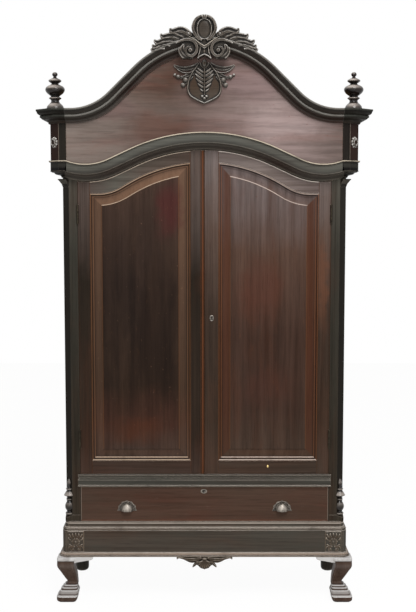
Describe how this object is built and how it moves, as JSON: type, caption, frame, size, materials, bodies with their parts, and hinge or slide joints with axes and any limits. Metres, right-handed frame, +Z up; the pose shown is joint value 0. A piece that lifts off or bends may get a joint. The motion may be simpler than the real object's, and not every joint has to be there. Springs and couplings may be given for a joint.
{
  "type": "kas cupboard",
  "caption": "Tall cupboard with an arched hood, two frame-and-panel doors on butt hinges, a long drawer, a plinth and short curved legs.",
  "frame": {"origin": "on the floor under the middle of the whole piece", "axes": "+Z up, -Y out of the front (the doors), +X to the right when facing the front"},
  "size_m": [1.406, 0.55, 2.4902],
  "materials": {
    "ebonised_wood": "blackened, waxed",
    "frame_wood": "dark brown, waxed",
    "leg_wood": "dark brown, worn wax",
    "panel_wood": "polished reddish brown",
    "frieze_wood": "polished reddish brown",
    "plinth_wood": "worn black over brown",
    "drawer_wood": "polished brown",
    "inner_wood": "unfinished",
    "hinge_brass": "tarnished",
    "bolt_brass": "rubbed",
    "tarnished_metal": "tarnished grey"
  },
  "bodies": {
    "carcase": {"plinth_front": "plinth_wood", "plinth_sides_and_back": "plinth_wood", "stand_top": "plinth_wood", "front_left_leg": "leg_wood", "front_right_leg": "leg_wood", "rear_left_foot": "ebonised_wood", "rear_right_foot": "ebonised_wood", "apron_carving": "ebonised_wood", "waist_rail": "ebonised_wood", "case_floor": "inner_wood", "left_side": "frame_wood", "right_side": "frame_wood", "back_panel": "inner_wood", "left_corner_post": "ebonised_wood", "right_corner_post": "ebonised_wood", "left_split_baluster": "ebonised_wood", "right_split_baluster": "ebonised_wood", "lower_shelf": "inner_wood", "upper_shelf": "inner_wood", "top_board": "inner_wood", "frieze_board": "frieze_wood", "left_hood_side": "ebonised_wood", "right_hood_side": "ebonised_wood", "door_head_moulding": "ebonised_wood", "head_rail": "ebonised_wood", "cornice_moulding": "ebonised_wood", "left_cornice_return": "ebonised_wood", "right_cornice_return": "ebonised_wood", "left_finial": "ebonised_wood", "right_finial": "ebonised_wood", "crest": "ebonised_wood", "frieze_cartouche": "ebonised_wood", "left_upper_hinge_frame_leaf": "hinge_brass", "left_lower_hinge_frame_leaf": "hinge_brass", "right_upper_hinge_frame_leaf": "hinge_brass", "right_lower_hinge_frame_leaf": "hinge_brass"},
    "left_door": {"left_door_hinge_stile": "frame_wood", "left_door_meeting_stile": "frame_wood", "left_door_top_rail": "frame_wood", "left_door_bottom_rail": "frame_wood", "left_door_panel": "panel_wood", "left_door_upper_hinge_leaf": "hinge_brass", "left_door_lower_hinge_leaf": "hinge_brass"},
    "right_door": {"right_door_hinge_stile": "frame_wood", "right_door_meeting_stile": "frame_wood", "right_door_top_rail": "frame_wood", "right_door_bottom_rail": "frame_wood", "right_door_panel": "panel_wood", "right_door_upper_hinge_leaf": "hinge_brass", "right_door_lower_hinge_leaf": "hinge_brass", "door_lock": "tarnished_metal"},
    "drawer": {"drawer_front": "drawer_wood", "drawer_sides_and_back": "inner_wood", "drawer_bottom": "inner_wood", "left_cup_pull": "tarnished_metal", "right_cup_pull": "tarnished_metal", "drawer_lock": "tarnished_metal"},
    "left_door_bolt": {"left_door_bolt": "tarnished_metal"},
    "door_lock_bolt": {"door_lock_bolt": "bolt_brass"},
    "drawer_lock_bolt": {"drawer_lock_bolt": "bolt_brass"}
  },
  "joints": [
    {"name": "left_door_hinge", "type": "hinge", "parent": "carcase", "child": "left_door", "pos_m": [-0.5363, -0.1662, 1.25], "axis": [0, 0, -1], "range_deg": [0, 120]},
    {"name": "right_door_hinge", "type": "hinge", "parent": "carcase", "child": "right_door", "pos_m": [0.5363, -0.1662, 1.25], "axis": [0, 0, 1], "range_deg": [0, 120]},
    {"name": "drawer_slide", "type": "slide", "parent": "carcase", "child": "drawer", "axis": [0, -1, 0], "range_m": [0, 0.3]},
    {"name": "left_door_bolt_slide", "type": "slide", "parent": "left_door", "child": "left_door_bolt", "axis": [0, 0, -1], "range_m": [0, 0.012]},
    {"name": "door_lock_bolt_slide", "type": "slide", "parent": "right_door", "child": "door_lock_bolt", "axis": [-1, 0, 0], "range_m": [0, 0.01]},
    {"name": "drawer_lock_bolt_slide", "type": "slide", "parent": "drawer", "child": "drawer_lock_bolt", "axis": [0, 0, 1], "range_m": [0, 0.01]}
  ]
}
